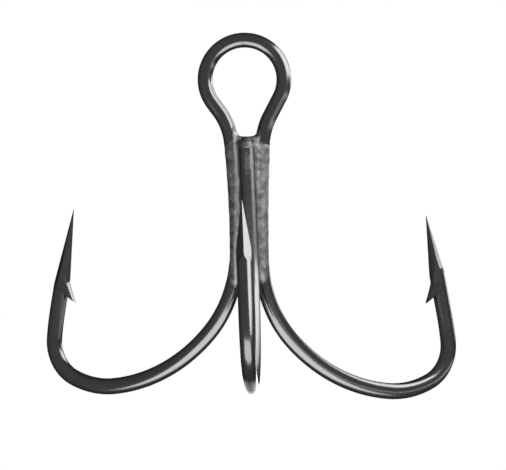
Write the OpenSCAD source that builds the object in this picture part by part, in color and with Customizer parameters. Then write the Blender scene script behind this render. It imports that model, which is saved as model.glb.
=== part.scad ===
// Treble hook: a double hook bent from one wire, with a single hook brazed along its shank.
// Frame: the origin is the centre of the eye, +Z runs up the shank, the eye lies in the XZ plane
// and the single hook bends forward, towards -Y. Millimetres.

/* [Wire] */
// Diameter of the wire
wire_d = 1.4; // [1:0.05:1.5]

// Width of the forged bend in the hook's plane
forged_w = 1.54; // [1:0.02:1.6]
// Thickness of the forged bend across the hook's plane
forged_t = 1.36; // [0.9:0.02:1.5]

/* [Eye] */
// Radius of the wire's centreline round the eye
eye_r = 3.7; // [3.4:0.1:5]
// Lean of the eye's left leg from the shank
eye_left_lean = 36; // [30:1:40]
// Lean of the eye's right leg from the shank
eye_right_lean = 28; // [24:1:36]
// Centreline radius of the neck, where a leg turns into the shank
neck_r = 6; // [4:0.5:7]

/* [Shank] */
// Distance between the two legs' centrelines at the foot of the shank
leg_spacing = 2.25; // [2.2:0.05:2.6]
// Distance from the eye's middle to the shank's middle, along +X
shank_shift = 0.25; // [0:0.05:0.3]
// Centreline radius of the left leg's slow bow
left_bow_r = 100; // [90:5:180]
// Centreline radius of the right leg's slow bow
right_bow_r = 165; // [90:5:180]
// Length of each leg's slow bow
bow_len = 9.3; // [7.5:0.1:9.5]

/* [Single hook] */
// Distance from the shank's middle to the single wire, along +X
single_shift = 0.15; // [0:0.05:0.25]
// Distance from the legs' plane to the single wire, along -Y
single_out = 1.05; // [1:0.05:1.2]
// Sideways lean of the single wire, with its upper end towards -X
single_lean = 1.8; // [0:0.1:2]
// Turn of the single hook's plane towards -X
single_turn = 1.3; // [0:0.1:3]
// Height of the single wire above the foot of the shank
single_top = 10.1; // [9:0.1:10.2]
// Height of the bevel on the single wire's cut end
bevel_height = 0.9; // [0.1:0.05:1.2]
// Depth of the bevel at the cut end
bevel_depth = 0.25; // [0.1:0.05:0.5]

/* [Bend] */
// Angle from straight ahead to the left hook's plane
left_arm_angle = 119; // [115:0.5:125]
// Angle from straight ahead to the right hook's plane
right_arm_angle = 119.5; // [115:0.5:125]
// Centreline radius of the throat, the first curve below the shank
throat_r = 11; // [9:0.1:12]
// Turn of the throat
throat_turn = 45; // [40:1:50]
// Centreline radius of the flat run to the belly
belly_r = 16.5; // [13:0.5:20]
// Turn of the belly
belly_turn = 40.6; // [36:0.2:46]
// Centreline radius of the heel
heel_r = 8.8; // [7:0.1:10]
// Turn of the heel
heel_turn = 31; // [26:1:36]
// Centreline radius of the tight outer corner
corner_r = 3.85; // [3:0.05:5]
// Turn of the outer corner
corner_turn = 69; // [60:0.2:72]
// Centreline radius of the rise to the point
rise_r = 27; // [20:1:40]
// Turn of the rise
rise_turn = 5.8; // [4:0.2:8]
// Depth of the left bend's start below the eye's centre
left_bend_depth = 16; // [15.9:0.1:17]
// Depth of the right bend's start below the eye's centre
right_bend_depth = 16.8; // [15.9:0.1:18]
// Depth of the single hook's bend start below the eye's centre
single_bend_depth = 16.4; // [16:0.1:19]

/* [Point and barb] */
// Length of the straight spear, from the bend to the tip
spear_len = 9.5; // [9:0.1:11]
// Length of the needle's taper on its outward side and flanks
needle_len = 4.6; // [4:0.1:6]
// Length of the needle's taper on its inward side
needle_inner_len = 6; // [4:0.1:6.4]
// Diameter of the needle's tip
tip_d = 0.06; // [0.04:0.01:0.1]
// Angle of each ground flat to the spear's axis
flat_tilt = 5.6; // [4.6:0.1:6]
// Turn of each ground flat from the outward side of the spear
flat_turn = 50; // [40:1:60]
// Distance from the tip to the start of the barb
barb_start = 6.4; // [6.2:0.1:7]
// Length of the barb along the spear
barb_len = 1.8; // [1.6:0.05:2.2]
// Rise of the barb's tip above the wire
barb_rise = 1.05; // [0.6:0.05:1.2]
// Thickness of the barb across the hook's plane
barb_t = 0.55; // [0.4:0.05:0.7]
// Angle of the barb's cut to the spear's axis
cut_angle = 57; // [48:1:58]
// Depth of the barb's cut into the wire
cut_depth = 0.7; // [0.4:0.05:0.75]
// Width of the barb's cut
cut_w = 0.08; // [0.05:0.01:0.12]
// How far the barb's root sinks into the wire
barb_sink = 0.05; // [0.03:0.01:0.1]

/* [Braze] */
// Clearance between the braze solids and the wires
fit_gap = 0.01; // [0.005:0.005:0.02]
// Thickness of the braze between two wires
braze_t = 0.8; // [0.6:0.05:0.9]
// Depth of the braze's lower end below the foot of the shank
braze_foot = 2.4; // [1.5:0.1:2.8]
// Height of the seams' upper ends above the foot of the shank
seam_top = 9.6; // [8:0.1:9.8]
// Height of the web's upper end above the foot of the shank
web_top = 9.4; // [8.5:0.1:9.6]
// Height of the bridge's lowest point above the foot of the shank
bridge_top = 10.3; // [10.25:0.05:10.6]
// Rise of the bridge's ends above its lowest point
bridge_rim = 0.5; // [0.3:0.05:0.8]
// Radius of the bridge's hollow top
bridge_r = 1.6; // [1.5:0.1:2.5]

/* [Hidden] */

// Sides of a wire's section, and the most that a wire's facets cut a bend's corner
sides = 16;
curve_tol = 0.02;

wire_r = wire_d / 2;

// Shares of the spear, from its tip, at which its section is drawn
spear_parts = [0.82, 0.66, 0.5, 0.34, 0.2, 0.08, 0];
spear_steps = [for (part = spear_parts) spear_len * part];

// A ground flat cuts only the sides whose cosine to it is more than this
least_facing = 0.1;

// A wire's runs are [length, 0] for a straight and [centreline radius, turn] for a bend.
// A pose is [x, z, heading] in the wire's plane, with the heading measured from +Z towards +X.
bend_runs = [[throat_r, throat_turn], [belly_r, belly_turn], [heel_r, heel_turn],
             [corner_r, corner_turn], [rise_r, rise_turn]];

// Distance of a leg's foot from the eye's middle, on the right (side 1) or left (side -1)
function foot_x(side) = leg_spacing / 2 + side * shank_shift;

// Radius and angle of a leg's slow bow, and how far it carries the leg outward
function bow_r(side) = side < 0 ? left_bow_r : right_bow_r;
function bow_angle(side) = bow_len / bow_r(side) * 180 / PI;
function bow_out(side) = bow_r(side) * (1 - cos(bow_angle(side)));

// Length of the straight part of an eye leg
function eye_leg_len(lean, side) =
    (eye_r * cos(lean) - foot_x(side) - bow_out(side)
        - neck_r * (cos(bow_angle(side)) - cos(lean))) / sin(lean);

// Depth below the eye's centre at which a leg becomes vertical
function foot_depth(lean, side) =
    eye_r * sin(lean) + eye_leg_len(lean, side) * cos(lean)
        + neck_r * (sin(lean) - sin(bow_angle(side))) + bow_r(side) * sin(bow_angle(side));

eye_runs = [
    [left_bend_depth - foot_depth(eye_left_lean, -1), 0],
    [left_bow_r, -bow_angle(-1)],
    [neck_r, bow_angle(-1) - eye_left_lean],
    [eye_leg_len(eye_left_lean, -1), 0],
    [eye_r, 180 + eye_left_lean + eye_right_lean],
    [eye_leg_len(eye_right_lean, 1), 0],
    [neck_r, bow_angle(1) - eye_right_lean],
    [right_bow_r, -bow_angle(1)],
    [right_bend_depth - foot_depth(eye_right_lean, 1), 0]
];

// The foot of the shank, from which heights along it are measured
foot_z = -15.6;
single_x = shank_shift + single_shift;
single_drop = single_bend_depth + foot_z;

// The pose at the end of a run that starts at a pose
function after_run(pose, size, turn) =
    let (heading = pose[2] + turn, side = turn < 0 ? -size : size)
    turn == 0
        ? [pose[0] + size * sin(heading), pose[1] + size * cos(heading), heading]
        : [pose[0] + side * (cos(pose[2]) - cos(heading)),
           pose[1] + side * (sin(heading) - sin(pose[2])), heading];

// Number of facets along a run
function run_steps(size, turn) =
    turn == 0 ? 1 : ceil(abs(turn) / (2 * acos(1 - curve_tol / size)));

// The poses along a list of runs, after the first pose
function walk(runs, pose, first = 0) =
    first == len(runs) ? [] :
    let (size = runs[first][0], turn = runs[first][1], steps = run_steps(size, turn))
    concat(
        [for (step = [1:steps])
            after_run(pose, turn == 0 ? size * step / steps : size, turn * step / steps)],
        walk(runs, after_run(pose, size, turn), first + 1));

// Radius of the forged section at an angle from the inward side; forging runs from 0 to 1
function forged_radius(angle, forging) =
    let (across = wire_r + forging * (forged_w / 2 - wire_r),
         through = wire_r + forging * (forged_t / 2 - wire_r))
    across * through / norm([through * cos(angle), across * sin(angle)]);

// Radius of one ground flat at an angle, at a distance from the tip
function flat_radius(angle, to_tip, side) =
    let (facing = cos(angle - 180 - side * flat_turn))
    facing < least_facing ? wire_d : (tip_d / 2 + to_tip * tan(flat_tilt)) / facing;

// Half the width of a needle whose taper has a length, at a distance from the tip
function taper_radius(length, to_tip) = tip_d / 2 + (wire_r - tip_d / 2) * to_tip / length;

// Radius of the needle at an angle, at a distance from the tip
function needle_radius(angle, to_tip) =
    let (flank = taper_radius(needle_len, to_tip),
         inner = cos(angle) > 0 ? taper_radius(needle_inner_len, to_tip) : flank)
    inner * flank / norm([flank * cos(angle), inner * sin(angle)]);

// Radius of the spear's section at an angle, at a distance from the tip
function spear_radius(angle, to_tip) =
    min(forged_radius(angle, 1),
        needle_radius(angle, to_tip),
        flat_radius(angle, to_tip, 1),
        flat_radius(angle, to_tip, -1));

// One ring of points round a pose. The wire's plane stands at an azimuth, mirrored where up is
// -1, its origin is at a place, and radii holds the section's radius at each side.
function ring(pose, place, azimuth, up, angles, radii) =
    let (out = [cos(azimuth), sin(azimuth), 0],
         through = up * [-sin(azimuth), cos(azimuth), 0],
         middle = place + pose[0] * out + [0, 0, up * pose[1]],
         inward = cos(pose[2]) * out - [0, 0, up * sin(pose[2])])
    [for (k = [0:sides - 1])
        middle + radii[k] * (cos(angles[k]) * inward + sin(angles[k]) * through)];

// The rings of a hook's bend and spear below a place, with the section's angles at each side
function arm_rings(place, azimuth, angles, grow) =
    let (start = [0, 0, 0],
         poses = walk(bend_runs, start),
         bend_end = poses[len(poses) - 1])
    concat(
        [for (pose = poses)
            let (forging = min(1, pose[2] / throat_turn))
            ring(pose, place, azimuth, -1, angles,
                 [for (angle = angles) forged_radius(angle, forging) + grow])],
        [for (to_tip = spear_steps)
            ring(after_run(bend_end, spear_len - to_tip, 0), place, azimuth, -1, angles,
                 [for (angle = angles) spear_radius(angle, to_tip) + grow])]);

// A closed solid through a list of rings
module skin(rings) {
    count = len(rings);
    last = (count - 1) * sides;
    walls = [for (i = [0:count - 2], k = [0:sides - 1])
        let (low = i * sides, next = (k + 1) % sides)
        [low + k, low + sides + k, low + sides + next, low + next]];
    polyhedron(
        points = [for (one = rings) each one],
        faces = concat([[for (k = [0:sides - 1]) k]], walls,
                       [[for (k = [sides - 1:-1:0]) last + k]]));
}

// The angles of a section's sides, counted from a first angle in one direction
function side_angles(first, direction) =
    [for (k = [0:sides - 1]) first + direction * 360 * k / sides];

// The wire of the eye, both legs and the two rear bends and spears
module double_wire(grow = 0) {
    left_place = [-foot_x(-1), 0, -left_bend_depth];
    right_place = [foot_x(1), 0, -right_bend_depth];
    right_azimuth = right_arm_angle - 90;
    left_azimuth = 270 - left_arm_angle;
    left_arm = arm_rings(left_place, left_azimuth, side_angles(left_azimuth, -1), grow);
    right_arm = arm_rings(right_place, right_azimuth, side_angles(180 + right_azimuth, 1), grow);
    round_radii = [for (k = [1:sides]) wire_r + grow];
    first_pose = [0, 0, 0];
    eye = [for (pose = concat([first_pose], walk(eye_runs, first_pose)))
        ring(pose, left_place, 0, 1, side_angles(0, 1), round_radii)];
    reversed_arm = [for (i = [len(left_arm) - 1:-1:0]) left_arm[i]];
    skin(concat(reversed_arm, eye, right_arm));
}

// The wire of the single hook, from its bevelled upper end to its tip
module single_wire(grow = 0) {
    angles = side_angles(0, 1);
    azimuth = -90 - single_turn;
    height = single_drop + single_top;
    round_radii = [for (k = [1:sides]) wire_r + grow];
    end_radii = [for (k = [1:sides]) wire_r + grow - bevel_depth];
    top = ring([0, -height, 0], [0, 0, 0], azimuth, -1, angles, end_radii);
    edge = ring([0, bevel_height - height, 0], [0, 0, 0], azimuth, -1, angles, round_radii);
    foot = ring([0, 0, 0], [0, 0, 0], azimuth, -1, angles, round_radii);
    translate([single_x, -single_out, foot_z])
        rotate([0, -single_lean, 0])
            translate([0, 0, -single_drop])
                skin(concat([top, edge, foot], arm_rings([0, 0, 0], azimuth, angles, grow)));
}

// Moves its children to the start of a spear whose bend starts below a place, with the spear
// along local +Z and its inward side at local +X
module at_spear(place, azimuth) {
    poses = walk(bend_runs, [0, 0, 0]);
    bend_end = poses[len(poses) - 1];
    translate(place)
        rotate([0, 0, azimuth])
            rotate([180, 0, 0])
                translate([bend_end[0], 0, bend_end[1]])
                    rotate([0, bend_end[2], 0])
                        children();
}

// The barb's wedge, which rises from the inward side of the spear
module barb_wedge() {
    root = spear_len - barb_start;
    low = root - barb_len;
    reach = wire_r + barb_rise;
    rotate([90, 0, 0])
        linear_extrude(height = barb_t, center = true)
            polygon([[0, root], [wire_r - barb_sink, root], [reach, low],
                     [0, low + reach / tan(cut_angle)]]);
}

// The thin cut that raises the barb from the wire
module barb_cut() {
    low = spear_len - barb_start - barb_len;
    translate([wire_r + barb_rise, 0, low])
        rotate([0, -cut_angle, 0])
            translate([-cut_w, -wire_r, 0])
                cube([cut_w, wire_d, (barb_rise + cut_depth) / sin(cut_angle)]);
}

// The continuous wire of the eye, both legs and the two rear hooks, with its barbs
module double_hook() {
    color([0.2, 0.21, 0.22])
        difference() {
            union() {
                double_wire();
                at_double_spears()
                    barb_wedge();
            }
            at_double_spears()
                barb_cut();
        }
}

// Moves its children to both spears of the double hook
module at_double_spears() {
    at_spear([-foot_x(-1), 0, -left_bend_depth], 270 - left_arm_angle)
        children();
    at_spear([foot_x(1), 0, -right_bend_depth], right_arm_angle - 90)
        children();
}

// The third hook, brazed into the front valley between the two legs
module single_hook() {
    color([0.23, 0.24, 0.25])
        difference() {
            union() {
                single_wire();
                at_single_spear()
                    barb_wedge();
            }
            at_single_spear()
                barb_cut();
        }
}

// Moves its children to the single hook's spear
module at_single_spear() {
    translate([single_x, -single_out, foot_z])
        rotate([0, -single_lean, 0])
            at_spear([0, 0, -single_drop], -90 - single_turn)
                children();
}

// The shank's plan halfway up the seams, where the legs have bowed apart and the single wire has
// leant over, at the middle points of the three wires
mid_height = seam_top / 2;
function leg_x(side) =
    foot_x(side) + bow_r(side) - sqrt(pow(bow_r(side), 2) - pow(mid_height, 2));
left_point = [-leg_x(-1), 0];
right_point = [leg_x(1), 0];
single_point = [single_x - mid_height * tan(single_lean), -single_out];

// A flat bar between two points of the shank's plan, from the braze's foot up to a height
module braze_bar(from, to, top, thickness = braze_t) {
    run = to - from;
    translate([from[0], from[1], foot_z - braze_foot])
        rotate([0, 0, atan2(run[1], run[0])])
            translate([0, -thickness / 2, 0])
                cube([norm(run), thickness, braze_foot + top]);
}

// Both wires with the clearance that the braze leaves round them
module wires_with_gap() {
    double_wire(fit_gap);
    single_wire(fit_gap);
}

// Braze between a leg and the single wire
module seam(leg_point) {
    difference() {
        braze_bar(leg_point, single_point, seam_top);
        wires_with_gap();
    }
}

module braze_left_seam() {
    color([0.4, 0.41, 0.42])
        seam(left_point);
}

module braze_right_seam() {
    color([0.52, 0.52, 0.53])
        seam(right_point);
}

// The space that both seams fill, with the clearance round them
module seams_with_gap() {
    for (leg_point = [left_point, right_point])
        braze_bar(leg_point, single_point, single_top, braze_t + 2 * fit_gap);
}

// Braze between the two legs, behind the single wire
module braze_rear_web() {
    color([0.36, 0.37, 0.38])
        difference() {
            braze_bar(left_point, right_point, web_top);
            wires_with_gap();
            seams_with_gap();
        }
}

// Braze across the foot of the eye, with a hollow top
module braze_eye_bridge() {
    bottom = web_top + fit_gap;
    color([0.3, 0.31, 0.32])
        difference() {
            translate([-leg_x(-1), -braze_t / 2, foot_z + bottom])
                cube([leg_x(-1) + leg_x(1), braze_t, bridge_top - bottom + bridge_rim]);
            translate([shank_shift, braze_t, foot_z + bridge_top + bridge_r])
                rotate([90, 0, 0])
                    cylinder(h = 2 * braze_t, r = bridge_r, $fn = 48);
            wires_with_gap();
            seams_with_gap();
        }
}

double_hook();
single_hook();
braze_left_seam();
braze_right_seam();
braze_rear_web();
braze_eye_bridge();
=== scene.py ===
import math
from collections import namedtuple

import bmesh
import bpy
import numpy as np
from mathutils import Euler, Matrix, Vector, noise


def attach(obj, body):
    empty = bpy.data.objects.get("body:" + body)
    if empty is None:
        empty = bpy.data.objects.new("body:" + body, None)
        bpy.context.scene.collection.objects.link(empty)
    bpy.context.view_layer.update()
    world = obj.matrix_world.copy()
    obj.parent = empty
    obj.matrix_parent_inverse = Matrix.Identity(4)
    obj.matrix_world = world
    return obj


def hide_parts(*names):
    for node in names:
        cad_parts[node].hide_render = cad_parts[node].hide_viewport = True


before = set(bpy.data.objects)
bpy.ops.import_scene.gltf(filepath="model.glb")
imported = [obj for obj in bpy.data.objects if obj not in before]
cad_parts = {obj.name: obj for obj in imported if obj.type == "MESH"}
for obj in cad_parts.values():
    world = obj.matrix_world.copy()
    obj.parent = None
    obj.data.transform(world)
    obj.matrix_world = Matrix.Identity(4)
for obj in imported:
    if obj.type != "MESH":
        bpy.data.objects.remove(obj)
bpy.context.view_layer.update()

MM = 0.001
BODY = "root"

# ---------------------------------------------------------------- the hook's sizes, in millimetres
WIRE_R = 0.7
FORGED_IN_PLANE = 0.77
FORGED_ACROSS = 0.68

EYE_R = 3.7
EYE_LEFT_LEAN = math.radians(36)
EYE_RIGHT_LEAN = math.radians(28)
NECK_R = 6.0
LEG_HALF = 1.125
SHANK_SHIFT = 0.25
BOW_R = {-1: 100.0, 1: 165.0}
BOW_LEN = 9.3
FOOT_Z = -15.6

THROAT = (11.0, math.radians(45))
BEND_RUNS = [THROAT, (16.5, math.radians(40.6)), (8.8, math.radians(31)),
             (3.85, math.radians(69)), (27.0, math.radians(5.8))]
BEND_Z = {-1: -16.0, 1: -16.8}
SINGLE_BEND_Z = -16.4
AZIMUTH = {-1: math.radians(151), 1: math.radians(29.5)}
SINGLE_AZIMUTH = math.radians(-91.3)
SINGLE_X = 0.4
SINGLE_Y = -1.05
SINGLE_LEAN = math.radians(1.8)
SINGLE_TOP = 10.1

# The single wire's cut end: depths below it, and how far in from the wire's side the bevel lies there
BEVEL = ((0.0, 0.69), (0.0, 0.34), (0.05, 0.28), (0.15, 0.23), (0.5, 0.13), (0.8, 0.05),
         (0.88, 0.02), (0.95, 0.0))

# A spear's length, the slopes of its needle's inward side, its flanks and its ground flats, where
# the flats end, and how much further from the tip than BARB_START its barb starts
Spear = namedtuple("Spear", "length inner_slope side_slope flat_slope flat_end barb_shift")
PLAIN_SPEAR = Spear(9.5, 0.1146, 0.149, 0.099, 5.1, 0.0)
LEFT_SPEAR = Spear(9.7, 0.104, 0.112, 0.08, 6.9, 0.5)
TIP_R = 0.025
FLAT_TURN = math.radians(50)
FLAT_RUN_OUT = 0.6

# The barb is a tongue that a slanting cut frees from the wire, and that is then bent inward
BARB_START = 6.4
CUT_END = 7.12
CUT_MOUTH = 7.6
CUT_DEPTH = 0.72
BARB_RISE = 1.05
BARB_SLIDE = 0.6
BARB_CURVE = 1.15
CUT_GAP = 0.06
TONGUE_GAP = 0.08
NEEDLE_GAP = 0.1

# The braze, and the dull film of it on the wires
BRAZE_TOP = -5.7
BRAZE_LOW = -18.6
BRAZE_SINK = 0.04
BEAD_GAP = 0.14
BRIDGE_LEG_Z = -5.0
BRIDGE_TOP = -5.36
BRIDGE_LOW = -6.1
BRIDGE_INSET = 0.3
BRIDGE_ROUND = 0.8
BRIDGE_RINGS = 26
BRIDGE_SIDES = 24
FILM_REACH = 3.0
BUMP_HEIGHT = 0.035

# The camera looks almost level at the foot of the shank, from a little below it
CAMERA_ELEVATION = math.radians(-2.2)
CAMERA_YAW = math.radians(-0.742)
CAMERA_ROLL = math.radians(-0.708)
CAMERA_TARGET = (0.2, 0.0, -15.023)
CAMERA_DISTANCE = 393.3
CAMERA_LENS = 298.72
CAMERA_SHIFT = (0.00871, 0.00873)

SIDES = 96
RING_GAP = 0.1
SHARP_ANGLE = math.radians(28)
MERGE_GAP = 0.0005

FLOOR_Z = -62.0
FLOOR_HALF = 240.0
CARD_DISTANCE = 260.0
# The near card on the right: its place, width and height in millimetres, and its brightness
RIGHT_CARD = ((54.0, 17.0, 35.0), 125.0, 56.0, 8.5)
# The other cards: the wire they light, then azimuth, elevation, width and height in degrees,
# brightness, and a distance where it isn't CARD_DISTANCE. The three behind overlap, which makes
# the front bend's lower end fade to pale. The braze is lit with the double hook.
CARDS = {
    "front_right_card": ("single_hook", 102, 34, 88, 52, 8.5),
    "low_right_card": ("double_hook", 85, -16, 90, 8, 2.4),
    "low_back_card": ("double_hook", 136, 8, 34, 12, 12.0),
    "under_card": ("double_hook", 0, -52, 84, 50, 6.0),
    "front_card": ("single_hook", 8, -28, 86, 39, 5.0, 75.5),
    "back_card_tall": ("single_hook", 180, -34, 60, 66, 1.6),
    "back_card_middle": ("single_hook", 180, -27, 60, 50, 2.4),
    "back_card_short": ("single_hook", 180, -20, 60, 36, 7.0),
}


# ---------------------------------------------------------------- a wire as a chain of straights and bends
def advance(pose, size, turn):
    """The pose (x, z, heading) after a straight of a length, or a bend of a radius and turn."""
    x, z, heading = pose
    if turn == 0:
        return (x + size * math.sin(heading), z + size * math.cos(heading), heading)
    after = heading + turn
    radius = math.copysign(size, turn)
    return (x + radius * (math.cos(heading) - math.cos(after)),
            z + radius * (math.sin(after) - math.sin(heading)), after)


def walk(runs, pose):
    """The poses along a list of runs, from the first pose on, about RING_GAP apart."""
    poses = [pose]
    for size, turn in runs:
        length = size * abs(turn) if turn else size
        steps = max(1, math.ceil(length / RING_GAP))
        start = poses[-1]
        for step in range(1, steps + 1):
            part = step / steps
            poses.append(advance(start, size if turn else size * part, turn * part))
    return poses


def ring(pose, place, azimuth, up, angles, radii):
    """A ring of points round a pose. The wire's plane stands at an azimuth, upside down if up is -1."""
    out = np.array([math.cos(azimuth), math.sin(azimuth), 0.0])
    across = up * np.array([-math.sin(azimuth), math.cos(azimuth), 0.0])
    middle = np.array(place) + pose[0] * out + np.array([0, 0, up * pose[1]])
    inward = math.cos(pose[2]) * out - np.array([0, 0, up * math.sin(pose[2])])
    return middle + radii[:, None] * (np.cos(angles)[:, None] * inward
                                      + np.sin(angles)[:, None] * across)


def forged_radius(angles, forging):
    """Radius of the section, from round (0) to forged (1), at angles from the inward side."""
    in_plane = WIRE_R + forging * (FORGED_IN_PLANE - WIRE_R)
    across = WIRE_R + forging * (FORGED_ACROSS - WIRE_R)
    return in_plane * across / np.hypot(across * np.cos(angles), in_plane * np.sin(angles))


def spear_radius(angles, to_tip, spear):
    """Radius of the spear's section with its needle taper and two ground flats."""
    side = TIP_R + to_tip * spear.side_slope
    inner = np.where(np.cos(angles) > 0, TIP_R + to_tip * spear.inner_slope, side)
    needle = inner * side / np.hypot(side * np.cos(angles), inner * np.sin(angles))
    radii = np.minimum(forged_radius(angles, 1.0), needle)
    depth = TIP_R + to_tip * spear.flat_slope + FLAT_RUN_OUT * max(0.0, to_tip - spear.flat_end) ** 2
    for side in (-1, 1):
        facing = np.cos(angles - math.pi - side * FLAT_TURN)
        radii = np.where(facing > 0.05, np.minimum(radii, depth / np.maximum(facing, 0.05)), radii)
    return radii


# ---------------------------------------------------------------- the spear and its barb
def spear_ring(base, to_tip, place, azimuth, angles, radii, lift, spear):
    """A ring of the spear whose sides may each lie at their own distance from the tip."""
    inward_part = radii * np.cos(angles)
    along = spear.length - to_tip
    if lift:
        from_start = BARB_START + spear.barb_shift - to_tip
        reach = np.clip(from_start / (BARB_START - CUT_MOUTH), 0.0, 1.0)
        core = FORGED_IN_PLANE - CUT_DEPTH
        share = np.clip((inward_part - core) / CUT_DEPTH, 0.0, 1.0) * reach ** BARB_CURVE
        inward_part = inward_part + lift * BARB_RISE * share
        along = along - lift * BARB_SLIDE * share
    out = np.array([math.cos(azimuth), math.sin(azimuth), 0.0])
    across = np.array([math.sin(azimuth), -math.cos(azimuth), 0.0])
    down = np.array([0, 0, -1.0])
    heading = base[2]
    inward = math.cos(heading) * out - math.sin(heading) * down
    axis = math.sin(heading) * out + math.cos(heading) * down
    start = np.array(place) + base[0] * out + base[1] * down
    return (start + np.outer(along, axis) + np.outer(inward_part, inward)
            + np.outer(radii * np.sin(angles), across))


def spear_rings(base, place, azimuth, angles, spear):
    """The rings of the spear. At the barb they fold back along the cut and out again over the tongue."""
    full = forged_radius(angles, 1.0)
    cosines = np.cos(angles)
    barb_start, cut_end, cut_mouth = (far + spear.barb_shift
                                      for far in (BARB_START, CUT_END, CUT_MOUTH))
    edge = cut_mouth - (cut_mouth - cut_end) * (FORGED_IN_PLANE - full * cosines) / CUT_DEPTH
    edge = np.clip(edge, cut_end, cut_mouth)

    def evenly(start, end, gap):
        return np.linspace(start, end, 1 + max(1, math.ceil(abs(end - start) / gap)))

    def floor_radii(to_tip):
        depth = CUT_DEPTH * (cut_mouth - to_tip) / (cut_mouth - cut_end)
        room = (FORGED_IN_PLANE - depth) / np.maximum(cosines, 0.02)
        return np.where(cosines > 0.02, np.minimum(full, room), full)

    def outer_radii(to_tip):
        return np.array([spear_radius(angles[k:k + 1], to_tip[k], spear)[0] for k in range(SIDES)])

    whole = np.ones(SIDES)
    rows = []
    for to_tip in evenly(spear.length, cut_mouth, RING_GAP)[1:]:
        rows.append((to_tip * whole, spear_radius(angles, to_tip, spear), 0.0))
    for to_tip in evenly(cut_mouth, cut_end, CUT_GAP)[1:]:
        rows.append((to_tip * whole, floor_radii(to_tip * whole), 0.0))
    for to_tip in evenly(cut_end, cut_mouth, CUT_GAP)[1:]:
        held = np.minimum(to_tip, edge)
        rows.append((held, floor_radii(held), 1.0))
    for to_tip in evenly(cut_mouth, cut_end, CUT_GAP)[1:]:
        held = np.minimum(to_tip, edge)
        rows.append((held, outer_radii(held), 1.0))
    for to_tip in evenly(cut_end, barb_start, TONGUE_GAP)[1:]:
        rows.append((to_tip * whole, spear_radius(angles, to_tip, spear), 1.0))
    for to_tip in evenly(barb_start, 0.0, NEEDLE_GAP)[1:]:
        rows.append((to_tip * whole, spear_radius(angles, to_tip, spear), 0.0))
    return [spear_ring(base, to_tip, place, azimuth, angles, radii, lift, spear)
            for to_tip, radii, lift in rows]


def arm_rings(place, azimuth, angles, spear=PLAIN_SPEAR):
    """The rings of a hook's bend and spear, from the foot of its shank to its tip."""
    poses = walk(BEND_RUNS, (0.0, 0.0, 0.0))
    rings = [ring(pose, place, azimuth, -1, angles, forged_radius(angles, min(1.0, pose[2] / THROAT[1])))
             for pose in poses[1:]]
    return rings + spear_rings(poses[-1], place, azimuth, angles, spear)


# ---------------------------------------------------------------- meshes
def add_object(name, points, faces):
    """A smooth mesh object through points in millimetres, with its hard edges kept sharp."""
    mesh = bpy.data.meshes.new(name)
    mesh.from_pydata((np.array(points) * MM).tolist(), [], faces)
    work = bmesh.new()
    work.from_mesh(mesh)
    bmesh.ops.remove_doubles(work, verts=work.verts, dist=MERGE_GAP * MM)
    bmesh.ops.recalc_face_normals(work, faces=work.faces)
    work.to_mesh(mesh)
    work.free()
    obj = bpy.data.objects.new(name, mesh)
    bpy.context.scene.collection.objects.link(obj)
    mesh.shade_smooth()
    mesh.set_sharp_from_angle(angle=SHARP_ANGLE)
    return obj


def skin(name, rings):
    """A closed mesh object through rings that all have the same number of points."""
    sides = len(rings[0])
    count = len(rings)
    faces = [list(range(sides))]
    for i in range(count - 1):
        low, high = i * sides, (i + 1) * sides
        for k in range(sides):
            after = (k + 1) % sides
            faces.append([low + k, high + k, high + after, low + after])
    faces.append([(count - 1) * sides + k for k in range(sides - 1, -1, -1)])
    return add_object(name, np.concatenate(rings), faces)


def side_angles(first, direction):
    return first + direction * np.arange(SIDES) * 2 * math.pi / SIDES


def film_share(point):
    """How much of the braze's film lies on a point of the shank, from 0 to 1."""
    reach = math.hypot(point[0], point[1])
    top = (BRAZE_TOP - point[2]) / 0.4
    low = (point[2] - BRAZE_LOW) / 0.8
    behind = (point[1] + 1.0) / 0.3
    return max(0.0, min(1.0, top, low, behind, (FILM_REACH - reach) / 0.3))


def roughen(one):
    """A ring of the shank with the braze's lumps on it."""
    middle = one.mean(axis=0)
    rough = one.copy()
    for k, point in enumerate(one):
        share = film_share(point)
        if share > 0.0:
            lump = noise.noise(Vector(point * 1.5))
            grain = noise.noise(Vector(point * 3.6 + 9.0))
            rough[k] += (point - middle) / WIRE_R * share * BUMP_HEIGHT * (0.7 * lump + 0.4 * grain)
    return rough


# ---------------------------------------------------------------- the two wires
def foot_x(side):
    return LEG_HALF + side * SHANK_SHIFT


def eye_leg(lean, side):
    """Length of an eye leg's straight part, and the depth at which the leg becomes vertical."""
    bow_turn = BOW_LEN / BOW_R[side]
    length = (EYE_R * math.cos(lean) - foot_x(side)
              - NECK_R * (math.cos(bow_turn) - math.cos(lean))
              - BOW_R[side] * (1 - math.cos(bow_turn))) / math.sin(lean)
    depth = (EYE_R * math.sin(lean) + length * math.cos(lean)
             + NECK_R * (math.sin(lean) - math.sin(bow_turn)) + BOW_R[side] * math.sin(bow_turn))
    return length, depth


def eye_poses():
    """The poses from the left bend's start, up round the eye and down to the right bend's start."""
    left_len, left_depth = eye_leg(EYE_LEFT_LEAN, -1)
    right_len, right_depth = eye_leg(EYE_RIGHT_LEAN, 1)
    left_turn, right_turn = BOW_LEN / BOW_R[-1], BOW_LEN / BOW_R[1]
    runs = [(-BEND_Z[-1] - left_depth, 0), (BOW_R[-1], -left_turn),
            (NECK_R, left_turn - EYE_LEFT_LEAN), (left_len, 0),
            (EYE_R, math.pi + EYE_LEFT_LEAN + EYE_RIGHT_LEAN), (right_len, 0),
            (NECK_R, right_turn - EYE_RIGHT_LEAN), (BOW_R[1], -right_turn),
            (-BEND_Z[1] - right_depth, 0)]
    return walk(runs, (0.0, 0.0, 0.0))


def foot_place(side):
    return (side * foot_x(side), 0.0, BEND_Z[side])


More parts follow.
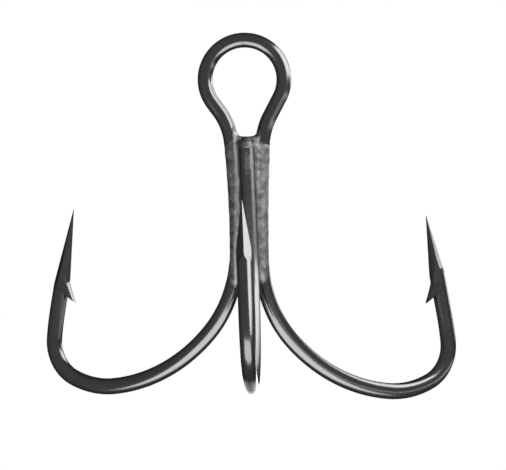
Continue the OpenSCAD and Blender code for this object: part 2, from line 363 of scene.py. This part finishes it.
def double_hook():
    left = arm_rings(foot_place(-1), AZIMUTH[-1], side_angles(AZIMUTH[-1], -1), LEFT_SPEAR)
    right = arm_rings(foot_place(1), AZIMUTH[1], side_angles(math.pi + AZIMUTH[1], 1))
    round_wire = np.full(SIDES, WIRE_R)
    eye = [ring(pose, foot_place(-1), 0.0, 1, side_angles(0, 1), round_wire) for pose in eye_poses()]
    return skin("double_hook_wire", [roughen(one) for one in left[::-1] + eye + right])


def lean_single(points):
    """Moves points from below the single wire's foot to where that wire leans on the shank."""
    lean = np.array(Euler((0, -SINGLE_LEAN, 0)).to_matrix())
    drop = SINGLE_BEND_Z - FOOT_Z
    return (np.array(points) + np.array([0, 0, drop])) @ lean.T + np.array([SINGLE_X, SINGLE_Y, FOOT_Z])


def single_hook():
    angles = side_angles(0, 1)
    height = SINGLE_TOP - (SINGLE_BEND_Z - FOOT_Z)
    origin = (0, 0, 0)
    rings = []
    for down, shrink in BEVEL:
        rings.append(ring((0.0, down - height, 0.0), origin, SINGLE_AZIMUTH, -1, angles,
                          np.full(SIDES, WIRE_R - shrink)))
    for pose in walk([(height - BEVEL[-1][0], 0)], (0.0, BEVEL[-1][0] - height, 0.0))[1:]:
        rings.append(ring(pose, origin, SINGLE_AZIMUTH, -1, angles, np.full(SIDES, WIRE_R)))
    rings += arm_rings(origin, SINGLE_AZIMUTH, angles)
    return skin("single_hook_wire", [roughen(lean_single(one)) for one in rings])


# ---------------------------------------------------------------- the braze between the wires
def leg_line(side):
    """Middle points of one leg, from the top of its bend up to the eye, in rising order."""
    foot = np.array(foot_place(side))
    out = np.array([math.cos(AZIMUTH[side]), math.sin(AZIMUTH[side]), 0.0])
    below = [foot + pose[0] * out - np.array([0, 0, pose[1]]) for pose in walk([THROAT], (0.0, 0.0, 0.0))]
    poses = eye_poses()
    half = poses[:len(poses) // 2] if side < 0 else poses[:len(poses) // 2:-1]
    above = [np.array(foot_place(-1)) + np.array([pose[0], 0, pose[1]]) for pose in half]
    line = [point for point in below[:0:-1] + above if point[2] < 0]
    return np.array(line)


def single_line():
    out = np.array([math.cos(SINGLE_AZIMUTH), math.sin(SINGLE_AZIMUTH), 0.0])
    below = [pose[0] * out - np.array([0, 0, pose[1]]) for pose in walk([THROAT], (0.0, 0.0, 0.0))]
    above = [np.array([0, 0, up]) for up in np.arange(0.2, 12.0, 0.2)]
    return lean_single(below[:0:-1] + [np.zeros(3)] + above)


def middle_at(line, z):
    return np.array([np.interp(z, line[:, 2], line[:, 0]), np.interp(z, line[:, 2], line[:, 1])])


def meniscus(start, end, pull, count=14):
    """Points of a hollow curve between two points, drawn towards a third."""
    parts = np.linspace(0.0, 1.0, count)[:, None]
    return (1 - parts) ** 2 * start + 2 * parts * (1 - parts) * pull + parts ** 2 * end


def bead_ring(first, second, z, front, back, hollow):
    """A ring of braze between two wires at one height, with a hollow curve in front and behind."""
    span = second - first
    gap = np.linalg.norm(span)
    along = span / gap
    across = np.array([along[1], -along[0]])
    sunk = WIRE_R - BRAZE_SINK
    middle = (first + second) / 2

    def touch(centre, sign, angle):
        return centre + sunk * (sign * math.cos(angle) * along + math.sin(angle) * across)

    face = meniscus(touch(first, 1, front), touch(second, -1, front), middle + hollow * across)
    rear = meniscus(touch(second, -1, -back), touch(first, 1, -back), middle - hollow * across)
    plan = np.concatenate([face, rear])
    return np.column_stack([plan, np.full(len(plan), z)])


def braze_bead(name, first_line, second_line, low, top, front, back, hollow, seed):
    """A bead of braze along two wires, of uneven width and with tapered ends. It wraps round each
    wire to an angle in front and behind, in degrees."""
    rings = []
    for z in np.linspace(low, top, 1 + math.ceil((top - low) / BEAD_GAP)):
        close = min(1.0, (z - low) / 1.1, (top - z) / 0.5)
        taper = math.sqrt(max(0.02, close))
        wave = (noise.noise(Vector((seed, seed, z * 0.9)))
                + 0.5 * noise.noise(Vector((z * 2.7, seed, 3.0))))
        rings.append(bead_ring(middle_at(first_line, z), middle_at(second_line, z), z,
                               math.radians(front + 7 * wave) * taper, math.radians(back) * taper,
                               (hollow + 0.04 * wave) * taper))
    return skin(name, rings)


def eye_bridge(left, right):
    """The meniscus across the foot of the eye, over the single wire's cut end."""
    x_left = middle_at(left, BRIDGE_LEG_Z)[0] + BRIDGE_INSET
    x_right = middle_at(right, BRIDGE_LEG_Z)[0] - BRIDGE_INSET
    middle = (x_left + x_right) / 2
    half = (x_right - x_left) / 2
    angles = np.arange(BRIDGE_SIDES) * 2 * math.pi / BRIDGE_SIDES
    forward = np.sign(np.cos(angles)) * np.abs(np.cos(angles)) ** BRIDGE_ROUND
    upward = np.sign(np.sin(angles)) * np.abs(np.sin(angles)) ** BRIDGE_ROUND
    rings = []
    for x in np.linspace(x_left, x_right, BRIDGE_RINGS):
        part = abs(x - middle) / half
        top = BRIDGE_TOP + 1.25 * part ** 4
        bottom = BRIDGE_LOW - 0.3 * part
        thick = 0.42 + 0.2 * part ** 2
        y = thick * forward - 0.06
        z = (top + bottom) / 2 + (top - bottom) / 2 * upward
        rings.append(np.column_stack([np.full(BRIDGE_SIDES, x), y, z]))
    return skin("braze_bridge", rings)


def braze_pieces():
    left, right, single = leg_line(-1), leg_line(1), single_line()
    return [(braze_bead("braze_left_bead", left, single, low=-18.3, top=-5.75, front=62, back=30,
                        hollow=0.1, seed=1.7), "braze_left_seam"),
            (braze_bead("braze_right_bead", single, right, low=-18.2, top=-5.75, front=62, back=30,
                        hollow=0.1, seed=5.2), "braze_right_seam"),
            (braze_bead("braze_rear_bead", right, left, low=-18.0, top=-5.7, front=52, back=30,
                        hollow=0.16, seed=8.9), "braze_rear_web"),
            (eye_bridge(left, right), "braze_eye_bridge")]


# ---------------------------------------------------------------- materials
# Pairs of colours that a noise blends, and the bands at the single wire's cut end
PLATE = ((0.077, 0.079, 0.08, 1), (0.098, 0.1, 0.101, 1))
# Painted shade: the darker film, left of the right leg, as if the single wire shaded it from the right
# light
PAINTED_SHADE_FILM = ((0.05, 0.052, 0.053, 1), (0.15, 0.152, 0.154, 1))
# Painted light: the paler film on the right leg, as if lit from the right
PAINTED_LIGHT_FILM = ((0.16, 0.16, 0.162, 1), (0.44, 0.438, 0.44, 1))
# The right leg's film where its surface faces outward to the right: darker
OUTWARD_FACING_FILM = ((0.07, 0.07, 0.071, 1), (0.14, 0.139, 0.14, 1))
# A painted reflection: the pale stripe of light down the left leg's front
PAINTED_REFLECTION_RUN = (0.34, 0.34, 0.342, 1)
# A painted highlight on the single wire's bevel, then the darker lip above it
HIGHLIGHT_AND_LIP = ((0.13, 0.13, 0.132, 1), (0.06, 0.062, 0.064, 1))
PAPER = ((0.82, 0.82, 0.82, 1), (0.86, 0.86, 0.85, 1))


class Tree:
    """A material's nodes, with short ways to add and link them."""

    def __init__(self, name):
        self.material = bpy.data.materials.new(name)
        self.material.use_nodes = True
        self.nodes = self.material.node_tree.nodes
        self.links = self.material.node_tree.links
        self.shader = self.nodes["Principled BSDF"]
        geometry = self.nodes.new("ShaderNodeNewGeometry").outputs
        self.place = geometry["Position"]
        self.facing = geometry["Normal"]

    def add(self, kind, inputs=None, **settings):
        node = self.nodes.new(kind)
        for key, value in settings.items():
            setattr(node, key, value)
        for key, value in (inputs or {}).items():
            self.put(node.inputs[key], value)
        return node

    def put(self, socket, value):
        if isinstance(value, bpy.types.NodeSocket):
            self.links.new(value, socket)
        else:
            socket.default_value = value

    def math(self, operation, first, second=0.0, clamp=False):
        node = self.add("ShaderNodeMath", {0: first, 1: second}, operation=operation, use_clamp=clamp)
        return node.outputs[0]

    def ramp(self, value, low, high, start=0.0, end=1.0):
        """Value mapped from low..high to start..end, and held at the ends."""
        node = self.add("ShaderNodeMapRange", {"Value": value, "From Min": low, "From Max": high,
                                               "To Min": start, "To Max": end})
        return node.outputs["Result"]

    def noise(self, scale, detail, roughness=0.55, distortion=0.0):
        """Noise over the object's own place. Scale counts its waves per millimetre."""
        node = self.add("ShaderNodeTexNoise", {"Vector": self.place, "Scale": scale / MM, "Detail": detail,
                                               "Roughness": roughness, "Distortion": distortion})
        return node.outputs["Fac"]

    def split(self, vector):
        """The three parts of a vector."""
        return self.add("ShaderNodeSeparateXYZ", {0: vector}).outputs

    def vector(self, operation, first, second):
        return self.add("ShaderNodeVectorMath", {0: first, 1: second}, operation=operation).outputs[0]

    def length(self, vector):
        return self.add("ShaderNodeVectorMath", {0: vector}, operation="LENGTH").outputs["Value"]

    def blend(self, share, first, second):
        node = self.add("ShaderNodeMix", data_type="RGBA")
        self.put(node.inputs[0], share)
        self.put(node.inputs[6], first)
        self.put(node.inputs[7], second)
        return node.outputs[2]

    def bump(self, height, distance, normal=None):
        inputs = {"Height": height, "Distance": distance * MM, "Strength": 1.0}
        if normal:
            inputs["Normal"] = normal
        return self.add("ShaderNodeBump", inputs).outputs["Normal"]


def splash_share(tree):
    """How much of the film's dull splash lies on the single wire, a little below its cut end."""
    from_middle = tree.vector("ADD", tree.place, (-0.15 * MM, 0, 7.9 * MM))
    spread = tree.length(tree.vector("MULTIPLY", from_middle, (2.4, 0, 0.8)))
    ragged = tree.ramp(tree.noise(1.8, 3.0), 0.3, 0.7, -0.4 * MM, 0.4 * MM)
    return tree.ramp(tree.math("ADD", spread, ragged), 1.1 * MM, 0.5 * MM, 0.0, 0.45)


def film_mask(tree):
    """Where the braze's dull film lies on the wires. It covers the shank between ragged upper and
    lower edges. On the front of the single wire, which stands out from the valleys, it lies only
    round the cut end and as a splash below it."""
    across, depth, up = tree.split(tree.place)
    side = tree.math("ABSOLUTE", across)
    reach = tree.length(tree.vector("MULTIPLY", tree.place, (1, 1, 0)))
    rag = tree.ramp(tree.noise(0.8, 3.0), 0.3, 0.7, -0.15 * MM, 0.15 * MM)
    height = tree.math("ADD", up, rag)
    top = tree.math("ADD", height, tree.math("MULTIPLY", side, 0.75))
    low = tree.math("SUBTRACT", height, tree.math("MULTIPLY", side, 0.85))
    below_top = tree.ramp(top, -4.6 * MM, -4.95 * MM)
    above_low = tree.ramp(low, -20.5 * MM, -19.7 * MM)
    near = tree.ramp(reach, FILM_REACH * MM, (FILM_REACH - 0.2) * MM)
    mask = tree.math("MULTIPLY", tree.math("MULTIPLY", below_top, above_low), near)
    behind = tree.ramp(depth, -0.85 * MM, -0.6 * MM, 0.12, 1.0)
    cap = tree.math("MULTIPLY", tree.ramp(up, -6.52 * MM, -6.42 * MM),
                    tree.ramp(side, 0.9 * MM, 0.8 * MM))
    front = tree.math("MAXIMUM", cap, splash_share(tree))
    return tree.math("MULTIPLY", mask, tree.math("MAXIMUM", behind, front))


def painted_reflection_share(tree, across, depth):
    """How much of the painted reflection, a pale stripe of light, lies on the left leg's front."""
    wander = tree.ramp(tree.noise(0.5, 2.0), 0.3, 0.7, -0.12 * MM, 0.12 * MM)
    off_run = tree.math("ABSOLUTE", tree.math("ADD", tree.math("ADD", across, wander), 0.9 * MM))
    return tree.math("MULTIPLY", tree.ramp(off_run, 0.26 * MM, 0.08 * MM),
                     tree.ramp(depth, -0.3 * MM, -0.4 * MM))


def film_look(tree):
    """The mottled colour, roughness and height of the braze's film. Its mottled tone is its own. Painted
    light makes it pale on the right leg, where it is darker where the surface faces outward to the right.
    Painted shade keeps it dark on the left leg and between the wires. A painted reflection runs down the
    left leg's front, and at the single wire's cut end a painted highlight on the bevel lies below a darker
    lip."""
    patches = tree.noise(1.5, 5.0, 0.6, distortion=0.5)
    specks = tree.noise(5.0, 3.0, 0.6)
    tone = tree.math("ADD", tree.math("MULTIPLY", patches, 0.75), tree.math("MULTIPLY", specks, 0.25))
    share = tree.ramp(tone, 0.41, 0.59)
    across, depth, height = tree.split(tree.place)

    # Painted shade: left of the right leg the film gets the darker pair, as if shaded from the right light
    left_side = tree.blend(share, *PAINTED_SHADE_FILM)
    # A painted reflection: a pale stripe of light down the left leg's front
    left_side = tree.blend(painted_reflection_share(tree, across, depth), left_side, PAINTED_REFLECTION_RUN)
    outward = tree.split(tree.facing)[0]
    # On the right leg the film turns to the darker pair where the surface faces outward to the right
    right_side = tree.blend(tree.ramp(outward, 0.05, 0.6), tree.blend(share, *PAINTED_LIGHT_FILM),
                            tree.blend(share, *OUTWARD_FACING_FILM))
    # Painted light: the right leg below the eye gets the paler film, as if lit from the right
    pale = tree.math("MULTIPLY", tree.ramp(across, 0.35 * MM, 0.75 * MM),
                     tree.ramp(height, -5.3 * MM, -5.7 * MM))
    colour = tree.blend(pale, left_side, right_side)

    # A painted highlight on the single wire's bevel: its lower band is lighter, and the lip above it
    # darker
    lip = tree.math("MULTIPLY", tree.ramp(height, -6.42 * MM, -6.37 * MM),
                    tree.ramp(depth, -0.85 * MM, -0.95 * MM))
    highlight_and_lip_colour = tree.blend(tree.ramp(height, -5.98 * MM, -5.9 * MM), *HIGHLIGHT_AND_LIP)
    colour = tree.blend(lip, colour, highlight_and_lip_colour)
    return colour, tree.ramp(tone, 0.35, 0.65, 0.72, 0.6), tone


def black_nickel():
    """Glossy dark plate on forged steel, with the dull film of the braze along the shank."""
    tree = Tree("black_nickel")
    cloud = tree.noise(0.35, 3.0)
    fine = tree.noise(9.0, 2.0, 0.6)
    waves = tree.noise(1.3, 2.0, 0.4)
    plate = tree.blend(cloud, *PLATE)
    plate_rough = tree.math("ADD", tree.ramp(cloud, 0.3, 0.7, 0.17, 0.21),
                            tree.math("MULTIPLY", fine, 0.03))
    film_colour, film_rough, film_height = film_look(tree)
    mask = film_mask(tree)
    tree.put(tree.shader.inputs["Base Color"], tree.blend(mask, plate, film_colour))
    rough = tree.math("ADD", tree.math("MULTIPLY", film_rough, mask),
                      tree.math("MULTIPLY", plate_rough, tree.math("SUBTRACT", 1.0, mask)))
    tree.put(tree.shader.inputs["Roughness"], rough)
    smooth = tree.bump(waves, 0.003)
    lumps = tree.bump(tree.math("MULTIPLY", film_height, mask), 0.09, smooth)
    tree.put(tree.shader.inputs["Normal"], lumps)
    tree.shader.inputs["Metallic"].default_value = 1.0
    tree.shader.inputs["Specular Tint"].default_value = (0.36, 0.36, 0.36, 1)
    return tree.material


def plated_braze():
    """Rough braze under the same dark plate."""
    tree = Tree("plated_braze")
    # The film colour brings its painted light, painted shade, painted reflection and painted highlight
    # onto the braze
    colour, rough, height = film_look(tree)
    tree.put(tree.shader.inputs["Base Color"], colour)
    tree.put(tree.shader.inputs["Roughness"], rough)
    tree.put(tree.shader.inputs["Normal"], tree.bump(height, 0.12))
    tree.shader.inputs["Metallic"].default_value = 1.0
    tree.shader.inputs["Specular Tint"].default_value = (0.4, 0.4, 0.4, 1)
    return tree.material


def floor_paper():
    tree = Tree("floor_paper")
    tree.put(tree.shader.inputs["Base Color"], tree.blend(tree.noise(0.02, 3.0), *PAPER))
    tree.shader.inputs["Roughness"].default_value = 0.9
    return tree.material


# ---------------------------------------------------------------- camera, floor and lights
def make_camera():
    data = bpy.data.cameras.new("camera")
    camera = bpy.data.objects.new("camera", data)
    bpy.context.scene.collection.objects.link(camera)
    back = Vector((0, -math.cos(CAMERA_ELEVATION), math.sin(CAMERA_ELEVATION)))
    turn = Matrix.Rotation(-CAMERA_YAW, 3, "Z")
    data.sensor_width = 36.0
    data.lens = CAMERA_LENS
    data.shift_x, data.shift_y = CAMERA_SHIFT
    data.clip_start = 0.01
    data.clip_end = 10.0
    look = (turn @ -back).to_track_quat("-Z", "Y").to_matrix()
    look = look @ Matrix.Rotation(CAMERA_ROLL, 3, "Z")
    place = Vector(CAMERA_TARGET) + turn @ back * CAMERA_DISTANCE
    camera.matrix_world = Matrix.Translation(place * MM) @ look.to_4x4()
    bpy.context.scene.camera = camera


def soft_light(name, lit, width, height, brightness):
    """A soft rectangle of light, in millimetres, that lights only a collection of objects.
    Brightness 1 is as bright as the white background."""
    data = bpy.data.lights.new(name, "AREA")
    data.shape = "RECTANGLE"
    data.size, data.size_y = width * MM, height * MM
    data.energy = brightness * math.pi * data.size * data.size_y
    lamp = bpy.data.objects.new(name, data)
    bpy.context.scene.collection.objects.link(lamp)
    lamp.visible_camera = False
    lamp.light_linking.receiver_collection = lit
    return lamp


def card_light(name, lit, azimuth, elevation, width, height, brightness, distance=CARD_DISTANCE):
    """A soft light that spans angles in degrees as the hook sees them. Azimuth 0 is in front and
    90 to the right."""
    sides = [2 * distance * math.tan(math.radians(span) / 2) for span in (width, height)]
    lamp = soft_light(name, lit, *sides, brightness)
    a, e = math.radians(azimuth), math.radians(elevation)
    direction = Vector((math.sin(a) * math.cos(e), -math.cos(a) * math.cos(e), math.sin(e)))
    lamp.location = (Vector((0, 0, FOOT_Z)) + direction * distance) * MM
    lamp.rotation_mode = "QUATERNION"
    lamp.rotation_quaternion = direction.to_track_quat("Z", "Y")


def near_card(name, lit, place, width, height, brightness):
    """A soft light close to the hook's right side. It faces left, and its width runs from front
    to back."""
    lamp = soft_light(name, lit, height, width, brightness)
    lamp.location = Vector(place) * MM
    lamp.rotation_euler = (0, math.radians(90), 0)


def make_world():
    """The background is white, and the metal reflects a dimmer room that is darkest behind it."""
    world = bpy.data.worlds.new("studio")
    bpy.context.scene.world = world
    world.use_nodes = True
    nodes, links = world.node_tree.nodes, world.node_tree.links
    white = nodes["Background"]
    white.inputs["Color"].default_value = (1, 1, 1, 1)
    room = nodes.new("ShaderNodeBackground")
    depth = nodes.new("ShaderNodeSeparateXYZ")
    links.new(nodes.new("ShaderNodeTexCoord").outputs["Generated"], depth.inputs[0])
    shade = nodes.new("ShaderNodeMapRange")
    links.new(depth.outputs["Y"], shade.inputs["Value"])
    shade.inputs["From Min"].default_value = -0.6
    shade.inputs["From Max"].default_value = 0.5
    shade.inputs["To Min"].default_value = 0.58
    shade.inputs["To Max"].default_value = 0.3
    links.new(shade.outputs["Result"], room.inputs["Strength"])
    mix = nodes.new("ShaderNodeMixShader")
    links.new(nodes.new("ShaderNodeLightPath").outputs["Is Camera Ray"], mix.inputs[0])
    links.new(room.outputs[0], mix.inputs[1])
    links.new(white.outputs[0], mix.inputs[2])
    links.new(mix.outputs[0], nodes["World Output"].inputs["Surface"])


def make_floor():
    """A pale sheet, far enough below the hook to stay out of the low camera's view. The metal
    doesn't reflect it, and it doesn't block the lights below the hook."""
    half = FLOOR_HALF
    points = [(x, y, FLOOR_Z) for x, y in ((-half, -half), (half, -half), (half, half), (-half, half))]
    floor = add_object("floor", points, [[0, 1, 2, 3]])
    floor.data.materials.append(floor_paper())
    floor.visible_glossy = False
    floor.visible_shadow = False
    return floor


def floor_light(floor):
    """A soft sun that lights only the floor."""
    data = bpy.data.lights.new("floor_light", "SUN")
    data.energy = 2.0
    data.angle = math.radians(50)
    lamp = bpy.data.objects.new("floor_light", data)
    bpy.context.scene.collection.objects.link(lamp)
    lamp.rotation_euler = (math.radians(20), math.radians(25), 0)
    receivers = bpy.data.collections.new("lit_floor")
    receivers.objects.link(floor)
    lamp.light_linking.receiver_collection = receivers


make_camera()
make_world()
floor_light(make_floor())

nickel = black_nickel()
braze = plated_braze()
pieces = [(double_hook(), "double_hook", nickel, "plated_wire"),
          (single_hook(), "single_hook", nickel, "plated_wire")]
pieces += [(bead, node, braze, "plated_braze") for bead, node in braze_pieces()]
lit = {node: bpy.data.collections.new("lit_" + node) for node in ("double_hook", "single_hook")}
for piece, node, material, slot in pieces:
    piece.data.materials.append(material)
    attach(piece, BODY)
    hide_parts(node)
    lit.get(node, lit["double_hook"]).objects.link(piece)

near_card("right_card", lit["double_hook"], *RIGHT_CARD)
for name, (node, *spans_and_brightness) in CARDS.items():
    card_light(name, lit[node], *spans_and_brightness)

bpy.context.scene.view_settings.view_transform = "Standard"
